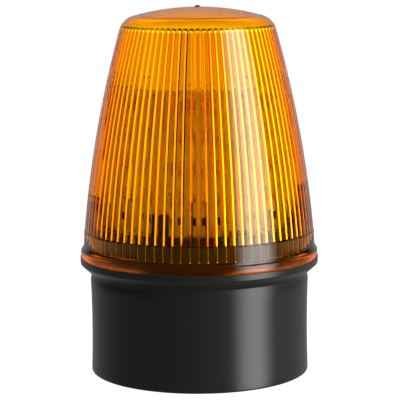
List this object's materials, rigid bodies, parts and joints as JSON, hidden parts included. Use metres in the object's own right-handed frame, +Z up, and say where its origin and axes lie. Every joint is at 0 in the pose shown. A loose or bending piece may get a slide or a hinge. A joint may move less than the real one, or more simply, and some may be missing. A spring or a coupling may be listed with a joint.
{
  "type": "flashing warning beacon",
  "caption": "Tall amber fluted lens cap, twist-locked on a round black base that is screwed to a panel through its floor, with a tower of LED boards inside.",
  "frame": {"origin": "centre of the face that the base stands on", "axes": "+Z up along the axis of the beacon, -Y towards the viewer of the picture"},
  "size_m": [0.1058, 0.1058, 0.162],
  "materials": {
    "amber_lens": "clear amber polycarbonate, polished",
    "black_housing": "fine spark-eroded grain",
    "black_rubber": "moulded",
    "foam_rubber": "closed-cell foam",
    "green_board": "solder mask over glass-fibre laminate",
    "white_board": "white solder mask over glass-fibre laminate",
    "led_resin": "white package with a clear yellowish resin dome",
    "zinc_steel": "zinc plated",
    "nickel_brass": "nickel plated",
    "black_nylon": "moulded nylon",
    "capacitor_sleeve": "shrink sleeve",
    "ferrite": "sintered",
    "copper_wire": "enamelled copper",
    "varistor_coat": "dipped epoxy",
    "fuse_cap": "moulded",
    "black_epoxy": "moulded epoxy with tinned leads",
    "resistor_body": "glazed thick film"
  },
  "bodies": {
    "root": {"base": "black_housing", "base_gasket": "foam_rubber", "cable_grommet": "black_rubber", "lens": "amber_lens", "lens_seal": "black_rubber", "main_board": "green_board", "board_screws": "zinc_steel", "terminal_block": "black_nylon", "terminal_clamps": "nickel_brass", "terminal_screws": "zinc_steel", "capacitor_large": "capacitor_sleeve", "capacitor_small_1": "capacitor_sleeve", "capacitor_small_2": "capacitor_sleeve", "choke_core": "ferrite", "choke_winding": "copper_wire", "varistor": "varistor_coat", "fuse": "fuse_cap", "diode_bridge": "black_epoxy", "voltage_regulator": "black_epoxy", "controller_chip": "black_epoxy", "top_board": "white_board", "series_resistors": "resistor_body", "led_board_1": "white_board", "leds_1": "led_resin", "led_board_2": "white_board", "leds_2": "led_resin", "led_board_3": "white_board", "leds_3": "led_resin", "led_board_4": "white_board", "leds_4": "led_resin", "led_board_5": "white_board", "leds_5": "led_resin", "led_board_6": "white_board", "leds_6": "led_resin"}
  },
  "joints": []
}
